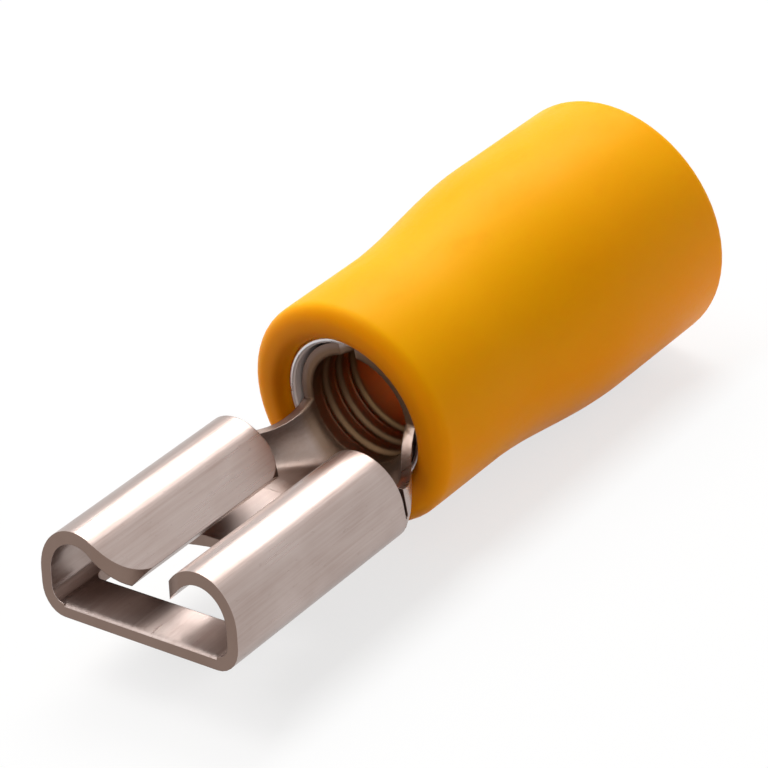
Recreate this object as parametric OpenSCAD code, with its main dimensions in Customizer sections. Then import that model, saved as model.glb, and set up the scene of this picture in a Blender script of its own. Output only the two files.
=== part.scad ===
// Insulated female spade terminal for a 6.35 x 0.8 mm tab.
// A receptacle, neck and wire barrel folded from one sheet, a thin support
// tube round the barrel, and a moulded insulating sleeve over both.
// The mouth faces -Y, the wire enters from +Y and the sleeve lies on z = 0.

/* [Sheet] */
// Thickness of the plated strip that the contact is folded from
sheet_t = 0.4; // [0.3:0.05:0.5]

/* [Receptacle] */
// Width of the receptacle over its walls
box_w = 7.8; // [7.2:0.1:8.6]
// Height of the receptacle from its underside to the crest of the wings
box_h = 2.75; // [2.5:0.05:3.2]
// Length of the receptacle along the tab
box_len = 7.55; // [6.5:0.05:9.5]
// Outer radius of the bend between the floor and a wall
bend_r = 0.85; // [0.6:0.05:1.0]
// Outer radius of the roll at the top of a wall
roll_r = 1.45; // [1.2:0.05:1.6]
// Slope of the wings' flanks where they come down onto the tab
flank_a = 42; // [38:1:50]
// Height left between the floor and the lowest line of the wings
tab_gap = 0.8; // [0.6:0.05:1.0]
// How far the walls lean back at the mouth, for each millimetre of height
mouth_lean = 0.2; // [0.0:0.02:0.3]
// Radius of the wings' front corners, seen from above
wing_front_r = 1.5; // [0.6:0.1:1.8]
// Radius of the wings' rear corners, seen from above
wing_rear_r = 1.0; // [0.4:0.1:1.2]
// Depth of the lead-in bevel along the floor's front edge
lead_in = 0.12; // [0.05:0.01:0.2]

/* [Floor window] */
// Distance from the mouth to the window in the floor
window_y = 1.55; // [1.2:0.05:2.0]
// Length of the window along the tab
window_len = 2.95; // [2.0:0.05:3.4]
// Width of the window
window_w = 6.5; // [5.8:0.1:6.6]
// Radius of the window's corners
window_r = 0.3; // [0.1:0.05:0.5]
// Height that the window's rear edge is arched up
lip_h = 0.3; // [0.15:0.05:0.35]
// Width of the arched lip
lip_w = 5.4; // [3.0:0.1:5.6]
// Distance behind the window in which the lip fades away
lip_len = 1.0; // [0.8:0.1:1.5]

/* [Neck] */
// Length of the neck between the receptacle and the barrel
neck_len = 2.8; // [2.4:0.1:3.5]
// Height of the neck's side walls behind the receptacle
neck_h = 1.75; // [1.5:0.05:1.8]
// How far the neck's top edges sag between the receptacle and the barrel
neck_sag = 0.38; // [0.1:0.02:0.4]
// Depth of the neck's top edges below the barrel's axis, at the barrel
neck_drop = 0.1; // [0.05:0.05:0.4]
// Width of the relief slits that free the walls' rear edges from the neck
relief_w = 0.16; // [0.1:0.02:0.3]
// Height of the relief slits' round ends above the underside
relief_z = 0.75; // [0.6:0.05:0.9]

/* [Barrel] */
// Bore radius of the wire barrel
bore_r = 1.85; // [1.6:0.05:2.0]
// Length of the wire barrel
barrel_len = 6; // [5:0.1:7.5]
// Height of the barrel's axis above the receptacle's underside
axis_h = 2.05; // [1.9:0.05:2.3]
// Width of the butted seam along the top of the barrel
seam_w = 0.08; // [0.04:0.01:0.15]
// Length of the notch at the front of the seam
notch_len = 0.4; // [0.2:0.05:0.6]
// Width of the notch at the front of the seam
notch_w = 0.6; // [0.3:0.05:0.8]
// Number of grip grooves round the bore
groove_n = 3; // [1:1:5]
// Distance from the barrel's front to the first groove
groove_y = 0.6; // [0.5:0.05:1.0]
// Distance from one groove to the next
groove_pitch = 0.65; // [0.5:0.05:0.8]
// Width of a groove at the bore
groove_w = 0.34; // [0.2:0.02:0.4]
// Depth of a groove
groove_d = 0.12; // [0.05:0.01:0.18]

/* [Support tube] */
// Wall of the thin tube round the barrel
tube_t = 0.2; // [0.15:0.01:0.3]
// Clearance between the barrel and the tube, on the radius
tube_clear = 0.12; // [0.05:0.01:0.2]
// Bevel of the edges at the tube's two ends
tube_edge = 0.06; // [0.02:0.01:0.07]
// How far the tube stands before the barrel
tube_lead = 0.25; // [0.1:0.05:0.4]
// How far the tube runs on behind the barrel
tube_over = 0.35; // [0.1:0.05:1.0]

/* [Sleeve] */
// Length of the insulating sleeve
sleeve_len = 14; // [12:0.1:17]
// How far the sleeve's front stands before the tube
sleeve_over = 0.4; // [0.2:0.05:0.6]
// Outer radius of the sleeve's front, over the barrel
front_r = 3.75; // [3.5:0.05:4.0]
// Outer radius of the sleeve's rear, round the wire's insulation
rear_r = 4.3; // [4.1:0.05:4.8]
// Radius of the wire entry
entry_r = 3.4; // [3.1:0.05:3.6]
// Distance from the sleeve's front to the start of the flare
flare_y = 3.7; // [3.0:0.1:5.0]
// Length of the flare
flare_len = 5.7; // [4.0:0.1:6.5]
// Rounding of the front outer edge
front_round = 0.5; // [0.3:0.05:0.8]
// Rounding of the rear outer edge
rear_round = 0.3; // [0.15:0.05:0.4]
// Rounding of the bore's front edge, down to the tube
mouth_round = 0.4; // [0.2:0.05:0.45]
// Bevel of the wire entry's edge
entry_bevel = 0.12; // [0.05:0.01:0.2]
// Clearance between the tube and the sleeve, on the radius
sleeve_clear = 0.02; // [0.01:0.01:0.06]

/* [Hidden] */
$fn = 96;

tin = [0.78, 0.73, 0.71];
bright_tin = [0.66, 0.66, 0.68];
amber = [0.96, 0.66, 0.04];

slack = 1;                                  // how far a cutter runs past what it cuts
embed = 0.25;                               // how far the neck runs on into the sheet at each end
level = 0.05;                               // even stretch at each end of the neck
skin = 0.01;                                // how far the neck stays under the sheet's surfaces
bend_pts = 7;                               // steps round the floor's bend
roll_pts = 20;                              // steps round the roll
nip = 0.02;                                 // how far a corner's arc passes the edges it joins
rings = 12;                                 // steps along the neck
half_pts = 16;                              // steps from the neck's bottom line to a top edge
flare_pts = 14;                             // points along the flare
round_pts = 8;                              // points round an edge

barrel_r = bore_r + sheet_t;
barrel_y = box_len + neck_len;
tube_in_r = barrel_r + tube_clear;
tube_r = tube_in_r + tube_t;
tube_y = barrel_y - tube_lead;
tube_len = tube_lead + barrel_len + tube_over;
seat_r = tube_r + sleeve_clear;
sleeve_y = tube_y - sleeve_over;
overall_len = sleeve_y + sleeve_len;
seat_len = sleeve_over + tube_len;          // plain bore that holds the tube
entry_y = max(flare_y + flare_len, seat_len + 1.5);

roll_mid_r = roll_r - sheet_t / 2;
roll_x = box_w / 2 - roll_r;                // centre of the roll
roll_z = box_h - roll_r;
tab_top = sheet_t + tab_gap;
flank_len = (roll_z + (roll_r - sheet_t) * cos(flank_a) - tab_top) / sin(flank_a);
wing_x = roll_x - roll_r * sin(flank_a) - flank_len * cos(flank_a);   // free edge
neck_t = sheet_t - 2 * skin;

function mix(a, b, s) = a + (b - a) * s;
function smooth(s) = s * s * (3 - 2 * s);
function reverse(list) = [for (i = [len(list) - 1:-1:0]) list[i]];
function arc_points(cx, cy, r, a0, a1, n) =
    [for (i = [0:n]) let (a = mix(a0, a1, i / n)) [cx + r * cos(a), cy + r * sin(a)]];

// Runs a flat outline along +Y: its x stays x and its y becomes z
module along_y(y, len) {
    translate([0, y + len, 0]) rotate([90, 0, 0]) linear_extrude(len) children();
}

// Runs a side view across X: its x becomes y and its y becomes z
module across_x(width) {
    rotate([90, 0, 90]) linear_extrude(width, center = true) children();
}

// Turns a profile of [radius, distance along Y] round the barrel's axis
module around_axis(y) {
    translate([0, y, axis_h]) rotate([-90, 0, 0]) rotate_extrude() children();
}

module both_sides() {
    children();
    mirror([1, 0, 0]) children();
}

// ---- Receptacle ----

// One skin of the sheet, off mid sheet by off: bend, wall, roll and flank
function wall_skin(off) =
    let (
        roll = arc_points(roll_x, roll_z, roll_mid_r + off, 0, 90 + flank_a, roll_pts),
        down = flank_len * [cos(flank_a), sin(flank_a)]
    )
    concat(
        arc_points(box_w / 2 - bend_r, bend_r, bend_r - sheet_t / 2 + off, -90, 0, bend_pts),
        roll,
        [roll[roll_pts] - down]
    );

// Cross-section: floor, walls and the two wings rolled down onto the tab
module receptacle_section() {
    outer = wall_skin(sheet_t / 2);
    inner = wall_skin(-sheet_t / 2);
    right = concat(outer, reverse(inner));
    left = [for (p = reverse(right)) [-p.x, p.y]];
    polygon(concat(right, left));
}

// Front of the mouth, which leans back as it rises
module mouth_cut() {
    across_x(box_w + 2 * slack)
        polygon([
            [-slack, -slack],
            [0, -slack],
            [0, 0],
            [mouth_lean * (box_h + slack), box_h + slack],
            [-slack, box_h + slack]
        ]);
}

// What is cut from the corner of a wing, seen from above
module wing_corner(r) {
    difference() {
        translate([0, -slack]) square([wing_x + r, r + slack]);
        translate([wing_x + r - nip, r - nip]) circle(r);
    }
}

// The front corners lean back with the mouth
module wing_corner_cuts() {
    z0 = sheet_t + tab_gap / 2;
    both_sides() {
        rotate([-atan(mouth_lean), 0, 0]) translate([0, 0, z0])
            linear_extrude(box_h) wing_corner(wing_front_r);
        translate([0, box_len, z0])
            linear_extrude(box_h) mirror([0, 1]) wing_corner(wing_rear_r);
    }
}

module floor_window() {
    inner = [window_w - 2 * window_r, window_len - 2 * window_r];
    translate([0, window_y, -slack]) linear_extrude(slack + sheet_t + tab_gap / 2) {
        translate([-inner.x / 2, 0]) square([inner.x, window_len]);
        translate([-window_w / 2, window_r]) square([window_w, inner.y]);
        for (x = [-inner.x / 2, inner.x / 2], y = [window_r, window_len - window_r])
            translate([x, y]) circle(window_r);
    }
}

module lead_in_bevel() {
    across_x(box_w - 2 * bend_r)
        polygon([
            [-slack, sheet_t - lead_in],
            [0, sheet_t - lead_in],
            [2 * lead_in, sheet_t],
            [-slack, sheet_t + slack / 4]
        ]);
}

// Round bar that slopes down from the top of the arched lip, as far as it fades;
// a smaller one of the same slope is pressed out of the underside
module lip_bar(down) {
    r = (pow(lip_w / 2, 2) + pow(lip_h, 2)) / (2 * lip_h);
    intersection() {
        translate([0, window_y + window_len, sheet_t + lip_h])
            rotate([-atan(lip_h / lip_len), 0, 0]) translate([0, 0, -r])
                rotate([90, 0, 0]) cylinder(r = r - down, h = 4 * lip_len, center = true);
        translate([-lip_w / 2, window_y + window_len - skin, sheet_t / 2 - down])
            cube([lip_w, lip_len + 2 * skin, sheet_t]);
    }
}

module receptacle() {
    difference() {
        union() {
            along_y(0, box_len) receptacle_section();
            lip_bar(0);
        }
        lip_bar(sheet_t);
        mouth_cut();
        wing_corner_cuts();
        floor_window();
        lead_in_bevel();
    }
}

// ---- Neck ----

// Point of a trough's wall: u runs from the bottom line (0) to the top edge (1),
// w, r, zb and zt are half width, corner radius, bottom and top at mid sheet,
// and off is the distance out from mid sheet
function trough_point(w, r, zb, zt, u, off) =
    let (
        flat = w - r,
        turn = zt - zb < r ? acos(1 - (zt - zb) / r) : 90,
        bend = r * turn * PI / 180,
        d = u * (flat + bend + max(0, zt - zb - r)),
        a = (d - flat) / r * 180 / PI
    )
    d <= flat ? [d, zb - off]
    : d <= flat + bend ? [flat + (r + off) * sin(a), zb + r - (r + off) * cos(a)]
    : [w + off, zb + r + d - flat - bend];

// Outline of the neck's sheet at s, from the receptacle (0) to the barrel (1)
function neck_ring(s) =
    let (
        e = mix(s, smooth(s), 0.5),
        w = mix(box_w / 2 - sheet_t / 2, bore_r + sheet_t / 2, e),
        r = mix(bend_r - sheet_t / 2, bore_r + sheet_t / 2, e),
        zb = mix(sheet_t / 2, axis_h - bore_r - sheet_t / 2, smooth(s)),
        zt = mix(neck_h, axis_h - neck_drop, pow(s, 4)) - neck_sag * sin(180 * s)
    )
    [for (side = [1, -1], i = [-half_pts:half_pts])
        let (p = trough_point(w, r, zb, zt, abs(i) / half_pts, side * neck_t / 2))
            [side * sign(i) * p.x, p.y]];

// Sheet swept from the receptacle's channel to the barrel's half round
module neck_sweep() {
    stations = concat(
        [[box_len - embed, 0]],
        [for (k = [0:rings]) [mix(box_len + level, barrel_y - level, k / rings), k / rings]],
        [[barrel_y + embed, 1]]
    );
    n = 2 * (2 * half_pts + 1);
    last = len(stations) - 1;
    points = [for (q = stations) for (p = neck_ring(q[1])) [p.x, q[0], p.y]];
    sides = [for (k = [0:last - 1], i = [0:n - 1])
        let (a = k * n + i, b = k * n + (i + 1) % n)
        for (f = [[a, b, b + n], [a, b + n, a + n]]) f];
    front = [for (i = [0:n / 2 - 2])
        for (f = [[i, n - 2 - i, i + 1], [i, n - 1 - i, n - 2 - i]]) f];
    rear = [for (f = front) [for (i = [2:-1:0]) last * n + f[i]]];
    polyhedron(points, concat(sides, front, rear), convexity = 4);
}

module neck() {
    difference() {
        neck_sweep();
        translate([0, box_len, relief_z]) across_x(box_w + 2 * slack) {
            translate([-embed - slack, relief_w / 2])
                square([embed + slack + relief_w, box_h]);
            translate([relief_w / 2, relief_w / 2]) circle(relief_w / 2);
            translate([-embed - slack, 0]) square([embed + slack + relief_w / 2, box_h]);
        }
    }
}

// ---- Barrel ----

module groove_profile() {
    polygon([
        [bore_r - slack, -groove_w],
        [bore_r, -groove_w / 2],
        [bore_r + groove_d, -groove_w / 6],
        [bore_r + groove_d, groove_w / 6],
        [bore_r, groove_w / 2],
        [bore_r - slack, groove_w]
    ]);
}

module barrel() {
    difference() {
        around_axis(barrel_y) translate([bore_r, 0]) square([sheet_t, barrel_len]);
        for (i = [0:groove_n - 1])
            around_axis(barrel_y + groove_y + i * groove_pitch) groove_profile();
        translate([-seam_w / 2, barrel_y - slack, axis_h])
            cube([seam_w, barrel_len + 2 * slack, barrel_r + slack]);
        translate([0, barrel_y, axis_h]) linear_extrude(barrel_r + slack)
            polygon([[-notch_w / 2, -slack], [notch_w / 2, -slack],
                     [notch_w / 2, 0], [0, notch_len], [-notch_w / 2, 0]]);
    }
}

// ---- The three pieces ----

module contact() {
    color(tin) union() {
        receptacle();
        neck();
        barrel();
    }
}

module support_tube() {
    color(bright_tin) around_axis(tube_y)
        polygon([
            [tube_in_r, tube_edge],
            [tube_in_r + tube_edge, 0],
            [tube_r - tube_edge, 0],
            [tube_r, tube_edge],
            [tube_r, tube_len - tube_edge],
            [tube_r - tube_edge, tube_len],
            [tube_in_r + tube_edge, tube_len],
            [tube_in_r, tube_len - tube_edge]
        ]);
}

function flare(s) = [mix(front_r, rear_r, smooth(s)), flare_y + flare_len * s];

module insulating_sleeve() {
    outside = concat(
        arc_points(front_r - front_round, front_round, front_round, -90, 0, round_pts),
        [for (i = [0:flare_pts]) flare(i / flare_pts)],
        arc_points(rear_r - rear_round, sleeve_len - rear_round, rear_round, 0, 90, round_pts)
    );
    inside = concat(
        [
            [entry_r + entry_bevel, sleeve_len],
            [entry_r, sleeve_len - entry_bevel],
            [entry_r, entry_y],
            [seat_r, seat_len]
        ],
        arc_points(seat_r + mouth_round, mouth_round, mouth_round, 180, 270, round_pts)
    );
    color(amber) around_axis(sleeve_y) polygon(concat(outside, inside));
}

// Stands the terminal on z = 0, with the middle of its length at y = 0
module placed() {
    translate([0, -overall_len / 2, rear_r - axis_h]) children();
}

placed() contact();
placed() support_tube();
placed() insulating_sleeve();
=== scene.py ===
"""Looks of an insulated female spade terminal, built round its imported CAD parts.

The three CAD nodes keep their shapes. They get smooth normals and procedural
materials: brushed tin plate, a brighter tube, and satin moulded vinyl.
"""

import math

import bpy
import numpy as np
from mathutils import Matrix, Vector


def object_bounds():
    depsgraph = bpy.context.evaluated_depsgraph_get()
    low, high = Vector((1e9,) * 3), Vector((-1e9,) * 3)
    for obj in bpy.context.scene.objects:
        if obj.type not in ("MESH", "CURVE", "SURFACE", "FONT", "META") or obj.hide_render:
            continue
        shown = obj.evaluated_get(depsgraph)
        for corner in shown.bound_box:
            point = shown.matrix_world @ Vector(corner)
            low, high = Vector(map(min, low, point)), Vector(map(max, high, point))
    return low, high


MM = 0.001
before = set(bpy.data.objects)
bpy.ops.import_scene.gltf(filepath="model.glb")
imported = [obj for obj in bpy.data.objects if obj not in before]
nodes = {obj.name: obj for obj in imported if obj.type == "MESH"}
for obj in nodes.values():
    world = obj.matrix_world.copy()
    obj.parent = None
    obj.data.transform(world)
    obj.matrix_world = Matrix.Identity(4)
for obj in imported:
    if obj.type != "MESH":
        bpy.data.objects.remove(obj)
cad_box = [list(corner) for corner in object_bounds()]


# ---- Camera ----

AZIMUTH, ELEVATION, ROLL = 45.0, 28.462, -10.998     # degrees
TARGET = Vector((-0.943, 0.703, 3.776)) * MM
DISTANCE = 94.073 * MM
SENSOR, LENS = 36.0, 142.77                          # mm


def make_camera():
    a, e, r = (math.radians(v) for v in (AZIMUTH, ELEVATION, ROLL))
    back = Vector((math.sin(a) * math.cos(e), -math.cos(a) * math.cos(e), math.sin(e)))
    level = Vector((math.cos(a), math.sin(a), 0))
    up = back.cross(level)
    right = level * math.cos(r) + up * math.sin(r)
    up = back.cross(right)
    data = bpy.data.cameras.new("camera")
    data.sensor_width, data.lens = SENSOR, LENS
    data.clip_start, data.clip_end = 1 * MM, 5000 * MM
    camera = bpy.data.objects.new("camera", data)
    axes = Matrix((right, up, back)).transposed().to_4x4()
    camera.matrix_world = Matrix.Translation(TARGET + back * DISTANCE) @ axes
    bpy.context.scene.collection.objects.link(camera)
    bpy.context.scene.camera = camera


# ---- Smooth normals on the CAD nodes ----

def smooth_normals(obj, limit):
    """Averages the normals of the faces that meet at a point at less than limit degrees."""
    mesh = obj.data
    count = len(mesh.loops)
    corner = np.empty(count, np.int32)
    mesh.loops.foreach_get("vertex_index", corner)
    points = np.empty(len(mesh.vertices) * 3)
    mesh.vertices.foreach_get("co", points)
    points = points.reshape(-1, 3)[corner]
    face = np.empty(count, np.int32)
    normals = np.empty((len(mesh.polygons), 3))
    weights = np.empty(count)
    for p in mesh.polygons:
        loops = list(p.loop_indices)
        face[loops] = p.index
        normals[p.index] = p.normal
        q = points[loops]
        to_next, to_last = np.roll(q, -1, 0) - q, np.roll(q, 1, 0) - q
        lengths = np.linalg.norm(to_next, axis=1) * np.linalg.norm(to_last, axis=1)
        cosine = (to_next * to_last).sum(1) / np.maximum(lengths, 1e-18)
        weights[loops] = np.arccos(np.clip(cosine, -1, 1))
    cell = np.round(points / (0.0005 * MM)).astype(np.int64)
    _, group = np.unique(cell, axis=0, return_inverse=True)
    order = np.argsort(group.ravel(), kind="stable")
    starts = np.flatnonzero(np.diff(group.ravel()[order], prepend=-1))
    result = np.empty((count, 3))
    cut = math.cos(math.radians(limit))
    for members in np.split(order, starts[1:]):
        n = normals[face[members]]
        near = (n @ n.T > cut) * weights[members]
        result[members] = near @ n
    result /= np.maximum(np.linalg.norm(result, axis=1, keepdims=True), 1e-18)
    mesh.polygons.foreach_set("use_smooth", np.ones(len(mesh.polygons), bool))
    mesh.normals_split_custom_set(result.tolist())


# ---- Materials ----

class Graph:
    """Node graph of one material, with a Principled shader in its middle."""

    def __init__(self, name):
        self.material = bpy.data.materials.new(name)
        self.material.use_nodes = True
        self.tree = self.material.node_tree
        self.shader = self.tree.nodes["Principled BSDF"]
        self.output = self.tree.nodes["Material Output"]
        self.place = self.node("ShaderNodeTexCoord").outputs["Object"]

    def node(self, kind, values=(), **settings):
        n = self.tree.nodes.new(kind)
        for key, value in settings.items():
            setattr(n, key, value)
        for key, value in dict(values).items():
            self.put(n.inputs[key], value)
        return n

    def put(self, socket, value):
        if isinstance(value, bpy.types.NodeSocket):
            self.tree.links.new(value, socket)
        else:
            socket.default_value = value

    def set(self, **values):
        for key, value in values.items():
            self.put(self.shader.inputs[key.replace("_", " ")], value)

    def scaled(self, x, y, z):
        """Object coordinates with so many cycles per millimetre along each axis."""
        scale = (x / MM, y / MM, z / MM)
        return self.node("ShaderNodeMapping", {"Vector": self.place, "Scale": scale}).outputs[0]

    def noise(self, scale, detail=3.0, rough=0.5, distortion=0.0):
        values = {"Vector": self.scaled(*scale), "Scale": 1.0, "Detail": detail,
                  "Roughness": rough, "Distortion": distortion}
        return self.node("ShaderNodeTexNoise", values).outputs["Fac"]

    def ramp(self, fac, low, high, from_value=0.0, to_value=1.0):
        values = {"Value": fac, "From Min": low, "From Max": high,
                  "To Min": from_value, "To Max": to_value}
        return self.node("ShaderNodeMapRange", values, clamp=True).outputs[0]

    def blend(self, fac, a, b):
        n = self.node("ShaderNodeMix", data_type="RGBA")
        for key, value in ((0, fac), (6, a), (7, b)):
            self.put(n.inputs[key], value)
        return n.outputs[2]

    def math(self, operation, a, b):
        n = self.node("ShaderNodeMath", operation=operation)
        self.put(n.inputs[0], a)
        self.put(n.inputs[1], b)
        return n.outputs[0]

    def bump(self, height, strength, depth, normal=None):
        values = {"Height": height, "Strength": strength, "Distance": depth * MM}
        if normal is not None:
            values["Normal"] = normal
        return self.node("ShaderNodeBump", values).outputs[0]

    def split(self, vector):
        return self.node("ShaderNodeSeparateXYZ", {"Vector": vector}).outputs

    def axis_radius(self):
        """Distance from the axis that the barrel, the tube and the sleeve share."""
        x, _, z = self.split(self.place)
        above = self.math("SUBTRACT", z, AXIS_HEIGHT * MM)
        across = self.node("ShaderNodeCombineXYZ", {"X": x, "Y": above}).outputs[0]
        return self.node("ShaderNodeVectorMath", {0: across}, operation="LENGTH").outputs["Value"]

    def rounded(self, radius):
        return self.node("ShaderNodeBevel", {"Radius": radius}, samples=6).outputs[0]


def rgb(r, g, b):
    return (r, g, b, 1.0)


# places in mm, in the frame of the CAD parts
AXIS_HEIGHT = 4.3                # of the barrel over the ground
BORE_START = -1.5                # along Y, front of the wire barrel
BORE_SKIN = 2.14                 # from the axis, just inside the barrel's wall
WING_REAR = -4.5                 # along Y, just before the wings' rear edges
ROLL_X = 3.3                     # across, where the roll turns into the side wall
TUBE_SKIN = 2.39                 # from the axis, just inside the tube's wall
LIP_INNER, LIP_OUTER = 2.65, 3.5  # from the axis, the sleeve's front face


def tin_plate():
    g = Graph("tin_plate")
    brush = g.noise((11, 0.22, 11), 4.0, 0.6)
    fine = g.noise((38, 0.9, 38), 2.0, 0.6)
    blotch = g.noise((0.7, 0.35, 0.7), 3.0, 0.55, 0.4)
    specks = g.noise((7, 3.2, 7), 4.0, 0.7)
    tone = g.blend(g.ramp(blotch, 0.35, 0.68), rgb(0.44, 0.355, 0.325), rgb(0.36, 0.275, 0.245))
    tone = g.blend(g.ramp(brush, 0.3, 0.75, 0.0, 0.5), tone, rgb(0.52, 0.445, 0.415))
    tone = g.blend(g.ramp(specks, 0.62, 0.8, 0.0, 0.5), tone, rgb(0.24, 0.18, 0.15))
    # sheared faces at the mouth and the wings' corners are bare and dull, and their dark brown
    # colour is painted shade
    x, y, _ = g.split(g.place)
    _, facing_y, facing_z = g.split(g.node("ShaderNodeNewGeometry").outputs["True Normal"])
    upright = g.ramp(g.math("ABSOLUTE", facing_z, 0.0), 0.3, 0.4, 1.0, 0.0)
    inner = g.ramp(g.math("ABSOLUTE", x, 0.0), (ROLL_X - 0.1) * MM, ROLL_X * MM, 1.0, 0.0)
    ahead = g.ramp(y, (WING_REAR - 0.1) * MM, WING_REAR * MM, 1.0, 0.0)
    trimmed = g.math("MULTIPLY", g.math("MULTIPLY", upright, inner), ahead)
    sheared_dull_shaded = g.math("MAXIMUM", trimmed, g.ramp(facing_y, -0.97, -0.80, 1.0, 0.0))
    tone = g.blend(g.math("MULTIPLY", sheared_dull_shaded, 0.9), tone, rgb(0.21, 0.14, 0.11))
    # painted shade: the bore and the end of the neck are darkened to brown; the bore is also duller
    bore = g.ramp(g.axis_radius(), (BORE_SKIN - 0.12) * MM, BORE_SKIN * MM, 1.0, 0.0)
    neck_shade = g.math("MULTIPLY", g.ramp(y, (BORE_START - 3.2) * MM, (BORE_START - 1.2) * MM),
                  g.ramp(facing_z, -0.05, 0.25))
    tone = g.blend(g.math("MULTIPLY", neck_shade, 0.6), tone, rgb(0.22, 0.155, 0.12))
    deep = g.ramp(y, (BORE_START - 1.6) * MM, (BORE_START + 0.5) * MM)
    bore_shade = g.math("MULTIPLY", bore, deep)
    tone = g.blend(g.math("MULTIPLY", bore_shade, 0.95), tone, rgb(0.19, 0.11, 0.055))
    # painted light: deeper in the bore the tone turns orange, as if lit through the orange sleeve
    far_orange_light = g.ramp(y, (BORE_START + 1.9) * MM, (BORE_START + 3.4) * MM)
    tone = g.blend(g.math("MULTIPLY", far_orange_light, bore), tone, rgb(0.60, 0.34, 0.09))
    rough = g.math("ADD", g.ramp(brush, 0.2, 0.8, 0.25, 0.36), g.ramp(blotch, 0.3, 0.7, -0.03, 0.05))
    rough = g.math("ADD", rough, g.math("MULTIPLY", g.math("MAXIMUM", bore_shade, sheared_dull_shaded), 0.14))
    edge = g.ramp(bore_shade, 0.0, 1.0, 0.045 * MM, 0.17 * MM)
    scuffs = g.bump(brush, 0.16, 0.02, g.rounded(edge))
    scuffs = g.bump(specks, 0.14, 0.012, g.bump(fine, 0.10, 0.01, scuffs))
    g.set(Base_Color=tone, Roughness=rough, Metallic=1.0, Normal=scuffs)
    return g.material


def bright_tube():
    g = Graph("bright_tube")
    turned = g.noise((3, 18, 3), 3.0, 0.55)
    tone = g.blend(g.ramp(turned, 0.3, 0.7), rgb(0.64, 0.63, 0.65), rgb(0.80, 0.80, 0.82))
    # the drawn bore is duller than the outside and the rim; its lighter, pinker tone is painted
    # light
    inside = g.ramp(g.axis_radius(), TUBE_SKIN * MM, (TUBE_SKIN + 0.04) * MM, 1.0, 0.0)
    tone = g.blend(inside, tone, rgb(0.85, 0.78, 0.75))
    rough = g.math("MAXIMUM", g.ramp(turned, 0.3, 0.7, 0.24, 0.36), g.math("MULTIPLY", inside, 0.8))
    g.set(Base_Color=tone, Roughness=rough, Metallic=1.0,
          Normal=g.bump(turned, 0.1, 0.01, g.rounded(0.05 * MM)))
    return g.material


def vinyl():
    g = Graph("satin_vinyl")
    cloud = g.noise((0.22, 0.16, 0.22), 2.0, 0.5)
    grain = g.noise((9, 9, 9), 3.0, 0.6)
    marks = g.noise((1.3, 0.5, 1.3), 4.0, 0.65, 0.5)
    tone = g.blend(g.ramp(cloud, 0.35, 0.65), rgb(0.98, 0.44, 0.001), rgb(0.95, 0.405, 0.001))
    tone = g.blend(g.ramp(marks, 0.55, 0.75, 0.0, 0.35), tone, rgb(0.92, 0.36, 0.002))
    # painted shade: the vinyl is a deeper orange on faces that point down, and darker on the front
    # lip
    _, facing_y, facing_z = g.split(g.node("ShaderNodeNewGeometry").outputs["Normal"])
    underside_shade = g.ramp(facing_z, 0.85, -0.25, 0.0, 0.85)
    tone = g.blend(underside_shade, tone, rgb(0.93, 0.305, 0.001))
    # painted shade on the sleeve's front face, darkest next to the bore
    outward = g.ramp(g.axis_radius(), LIP_INNER * MM, LIP_OUTER * MM)
    lip_shade = g.blend(outward, rgb(0.56, 0.15, 0.002), rgb(0.86, 0.30, 0.002))
    tone = g.blend(g.ramp(facing_y, -0.25, -0.85, 0.0, 0.9), tone, lip_shade)
    rough = g.math("ADD", g.ramp(grain, 0.3, 0.7, 0.40, 0.50), g.ramp(marks, 0.4, 0.7, -0.03, 0.05))
    skin = g.bump(grain, 0.10, 0.01, g.rounded(0.08 * MM))
    g.set(Base_Color=tone, Roughness=rough, Normal=g.bump(marks, 0.08, 0.03, skin),
          Subsurface_Weight=0.35, Subsurface_Scale=1.0 * MM, Subsurface_Radius=(1.0, 0.38, 0.04),
          Specular_IOR_Level=0.08, Specular_Tint=rgb(1.0, 0.75, 0.3), IOR=1.46)
    return g.material


def dress(name, material, limit):
    obj = nodes[name]
    obj.data.materials.clear()
    obj.data.materials.append(material)
    smooth_normals(obj, limit)


# ---- Stage ----

FLOOR_HALF = 400 * MM
GLOW_NEAR, GLOW_FAR = 0.72, 0.94             # share of plain white near the object and away
WORLD_LOW, WORLD_HIGH = 0.12, 0.80           # strength away from and at the bright side
BRIGHT_WAY = (-0.45, 0.30, 0.84)             # unit vector to the world's bright side


def make_floor():
    mesh = bpy.data.meshes.new("floor")
    h = FLOOR_HALF
    mesh.from_pydata([(-h, -h, 0), (h, -h, 0), (h, h, 0), (-h, h, 0)], [], [(0, 1, 2, 3)])
    floor = bpy.data.objects.new("floor", mesh)
    bpy.context.scene.collection.objects.link(floor)
    g = Graph("pale_floor")
    x, y, _ = g.split(g.place)
    half_width, half_length, _ = cad_box[1]
    g.set(Base_Color=rgb(0.86, 0.85, 0.84), Roughness=0.9, Specular_IOR_Level=0.1)
    glow = g.node("ShaderNodeEmission", {"Color": rgb(1, 1, 1), "Strength": 1.0})
    path = g.node("ShaderNodeLightPath")
    seen = g.math("MAXIMUM", path.outputs["Is Camera Ray"], path.outputs["Is Transmission Ray"])
    seen = g.math("MAXIMUM", seen, path.outputs["Is Glossy Ray"])
    # the glow is weaker near the object, so that its shadow stays
    over_x = g.math("DIVIDE", g.math("ABSOLUTE", x, 0.0), half_width)
    over_y = g.math("DIVIDE", g.math("ABSOLUTE", y, 0.0), half_length)
    away = g.math("MAXIMUM", over_x, over_y)
    share = g.math("MULTIPLY", seen, g.ramp(away, 0.8, 1.3, GLOW_NEAR, GLOW_FAR))
    mix = g.node("ShaderNodeMixShader")
    for socket, value in ((0, share), (1, g.shader.outputs[0]), (2, glow.outputs[0])):
        g.put(mix.inputs[socket], value)
    g.put(g.output.inputs["Surface"], mix.outputs[0])
    mesh.materials.append(g.material)


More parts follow.
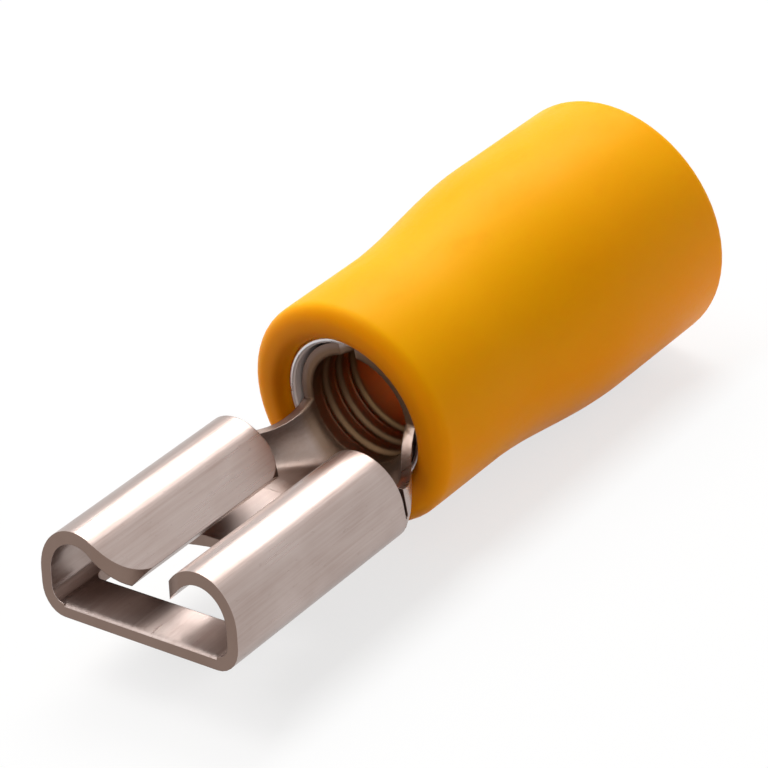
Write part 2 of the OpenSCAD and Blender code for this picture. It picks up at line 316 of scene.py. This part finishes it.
def make_world():
    world = bpy.data.worlds.new("studio")
    bpy.context.scene.world = world
    world.use_nodes = True
    tree = world.node_tree
    back = tree.nodes["Background"]          # lights the object
    back.inputs["Color"].default_value = rgb(1.0, 0.975, 0.96)
    way = tree.nodes.new("ShaderNodeTexCoord")
    split = tree.nodes.new("ShaderNodeVectorMath")
    level = tree.nodes.new("ShaderNodeMapRange")
    split.operation = "DOT_PRODUCT"
    split.inputs[1].default_value = BRIGHT_WAY
    tree.links.new(way.outputs["Generated"], split.inputs[0])
    tree.links.new(split.outputs["Value"], level.inputs["Value"])
    level.inputs["From Min"].default_value = 0.0
    level.inputs["To Min"].default_value = WORLD_LOW
    level.inputs["To Max"].default_value = WORLD_HIGH
    tree.links.new(level.outputs[0], back.inputs["Strength"])
    white = tree.nodes.new("ShaderNodeBackground")   # seen directly and in the metal
    white.inputs["Color"].default_value = rgb(1, 1, 1)
    white.inputs["Strength"].default_value = 1.0
    path = tree.nodes.new("ShaderNodeLightPath")
    mix = tree.nodes.new("ShaderNodeMixShader")
    seen = path.outputs["Is Camera Ray"]
    for kind in ("Is Glossy Ray", "Is Transmission Ray"):
        either = tree.nodes.new("ShaderNodeMath")
        either.operation = "MAXIMUM"
        tree.links.new(seen, either.inputs[0])
        tree.links.new(path.outputs[kind], either.inputs[1])
        seen = either.outputs[0]
    tree.links.new(seen, mix.inputs[0])
    tree.links.new(back.outputs[0], mix.inputs[1])
    tree.links.new(white.outputs[0], mix.inputs[2])
    tree.links.new(mix.outputs[0], tree.nodes["World Output"].inputs["Surface"])


def soft_light(name, azimuth, elevation, distance, size, level, colour=(1, 1, 1)):
    """Area light that gives a facing white surface the brightness level."""
    a, e = math.radians(azimuth), math.radians(elevation)
    way = Vector((math.sin(a) * math.cos(e), -math.cos(a) * math.cos(e), math.sin(e)))
    data = bpy.data.lights.new(name, "AREA")
    data.shape = "RECTANGLE"
    data.size, data.size_y = size[0] * MM, size[1] * MM
    data.energy = level * (math.pi * distance * MM) ** 2
    data.color = colour
    light = bpy.data.objects.new(name, data)
    light.location = way * distance * MM
    light.rotation_euler = way.to_track_quat("Z", "Y").to_euler()
    bpy.context.scene.collection.objects.link(light)


make_camera()
make_floor()
make_world()
soft_light("key", -148, 50, 160, (105, 75), 0.62, (1.0, 0.99, 0.98))
soft_light("top", -60, 70, 160, (75, 75), 0.34)
soft_light("fill", 20, 30, 180, (150, 110), 0.04, (1.0, 0.97, 0.95))

dress("contact", tin_plate(), 32)
dress("support_tube", bright_tube(), 40)
dress("insulating_sleeve", vinyl(), 40)

bpy.context.scene.view_settings.view_transform = "Standard"
